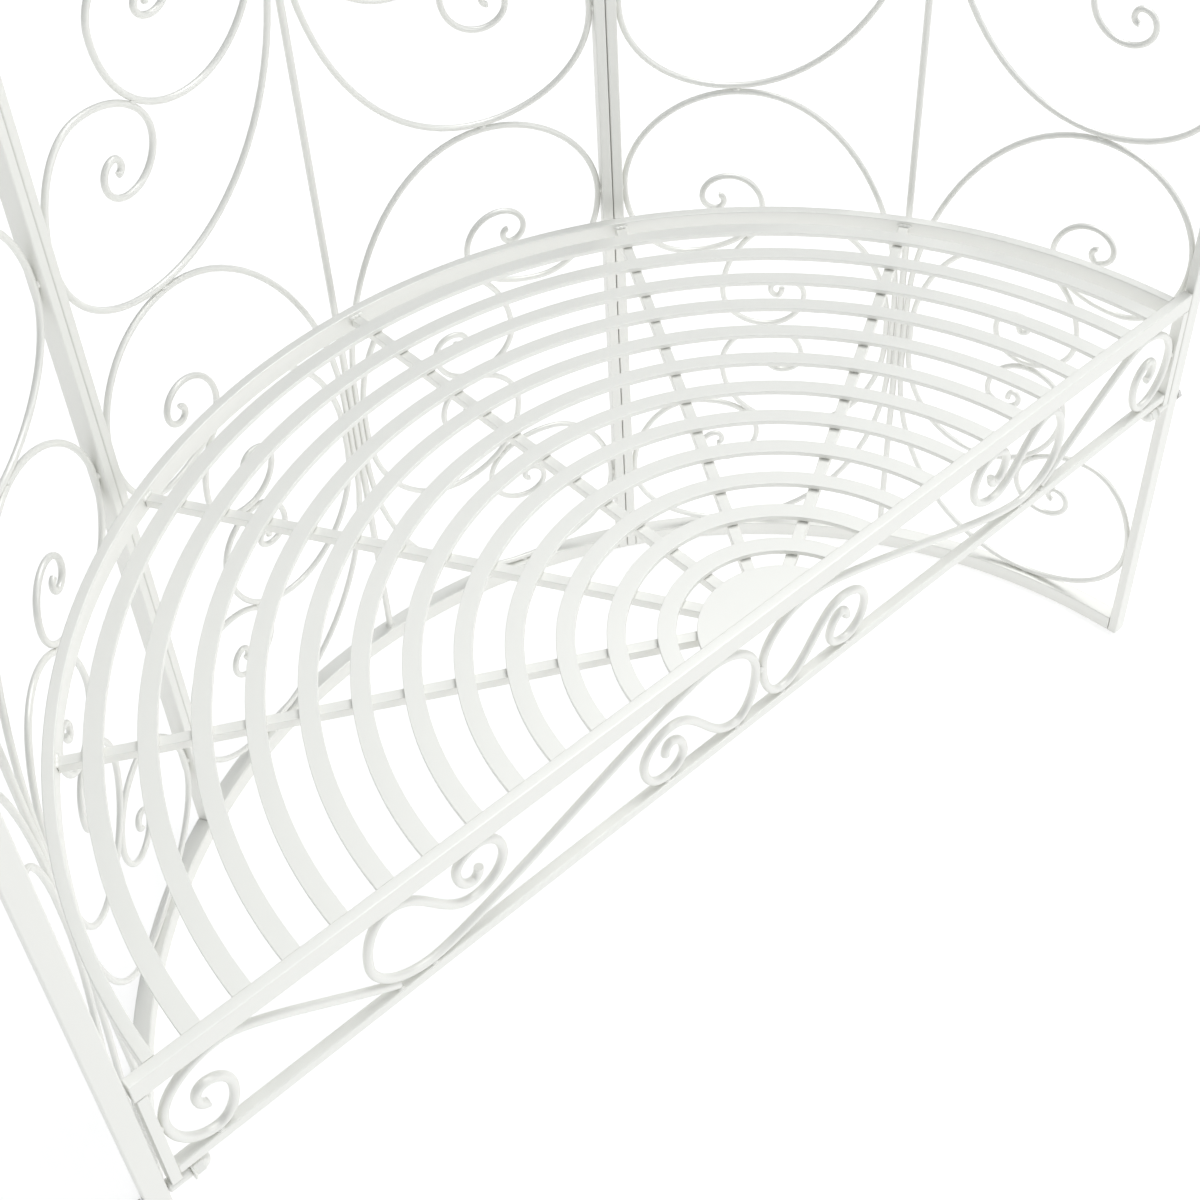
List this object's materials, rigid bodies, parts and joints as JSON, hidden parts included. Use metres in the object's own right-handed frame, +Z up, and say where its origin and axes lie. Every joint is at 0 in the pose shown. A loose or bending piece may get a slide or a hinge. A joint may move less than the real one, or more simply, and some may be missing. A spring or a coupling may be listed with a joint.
{
  "type": "garden gazebo with bench",
  "caption": "Half-round garden gazebo: curved scrollwork wall panels around a half-disc slatted bench with a scrolled apron, under a dome of bent ribs with a finial.",
  "frame": {"origin": "on the ground, at the middle of the footprint", "axes": "+X right along the open front, +Y from the open front to the back of the wall, +Z up"},
  "size_m": [1.1246, 0.5909, 2.4052],
  "materials": {
    "white_paint": "satin off-white paint over welded steel",
    "bolt_steel": "zinc-plated bolts and nuts"
  },
  "bodies": {
    "root": {"apron_end_bars": "white_paint", "apron_end_scrolls": "white_paint", "apron_long_scrolls": "white_paint", "apron_lower_rail": "white_paint", "back_panel_bottom_rail": "white_paint", "back_panel_left_large_scrolls": "white_paint", "back_panel_left_small_scrolls": "white_paint", "back_panel_left_tube": "white_paint", "back_panel_middle_rail": "white_paint", "back_panel_right_large_scrolls": "white_paint", "back_panel_right_small_scrolls": "white_paint", "back_panel_right_tube": "white_paint", "back_panel_rod": "white_paint", "back_panel_top_rail": "white_paint", "left_panel_back_large_scrolls": "white_paint", "left_panel_back_small_scrolls": "white_paint", "left_panel_back_tube": "white_paint", "left_panel_bottom_rail": "white_paint", "left_panel_front_large_scrolls": "white_paint", "left_panel_front_small_scrolls": "white_paint", "left_panel_front_tube": "white_paint", "left_panel_middle_rail": "white_paint", "left_panel_rod": "white_paint", "left_panel_top_rail": "white_paint", "panel_bolts": "bolt_steel", "panel_nuts": "bolt_steel", "right_panel_back_large_scrolls": "white_paint", "right_panel_back_small_scrolls": "white_paint", "right_panel_back_tube": "white_paint", "right_panel_bottom_rail": "white_paint", "right_panel_front_large_scrolls": "white_paint", "right_panel_front_small_scrolls": "white_paint", "right_panel_front_tube": "white_paint", "right_panel_middle_rail": "white_paint", "right_panel_rod": "white_paint", "right_panel_top_rail": "white_paint", "roof_finial": "white_paint", "roof_hub": "white_paint", "roof_rib_back_left": "white_paint", "roof_rib_back_right": "white_paint", "roof_rib_feet": "white_paint", "roof_rib_front_left": "white_paint", "roof_rib_front_right": "white_paint", "roof_ring": "white_paint", "seat_bolts": "bolt_steel", "seat_front_rail": "white_paint", "seat_hub_plate": "white_paint", "seat_nuts": "bolt_steel", "seat_radial_bars": "white_paint", "seat_rim": "white_paint", "seat_slats": "white_paint"}
  },
  "joints": []
}
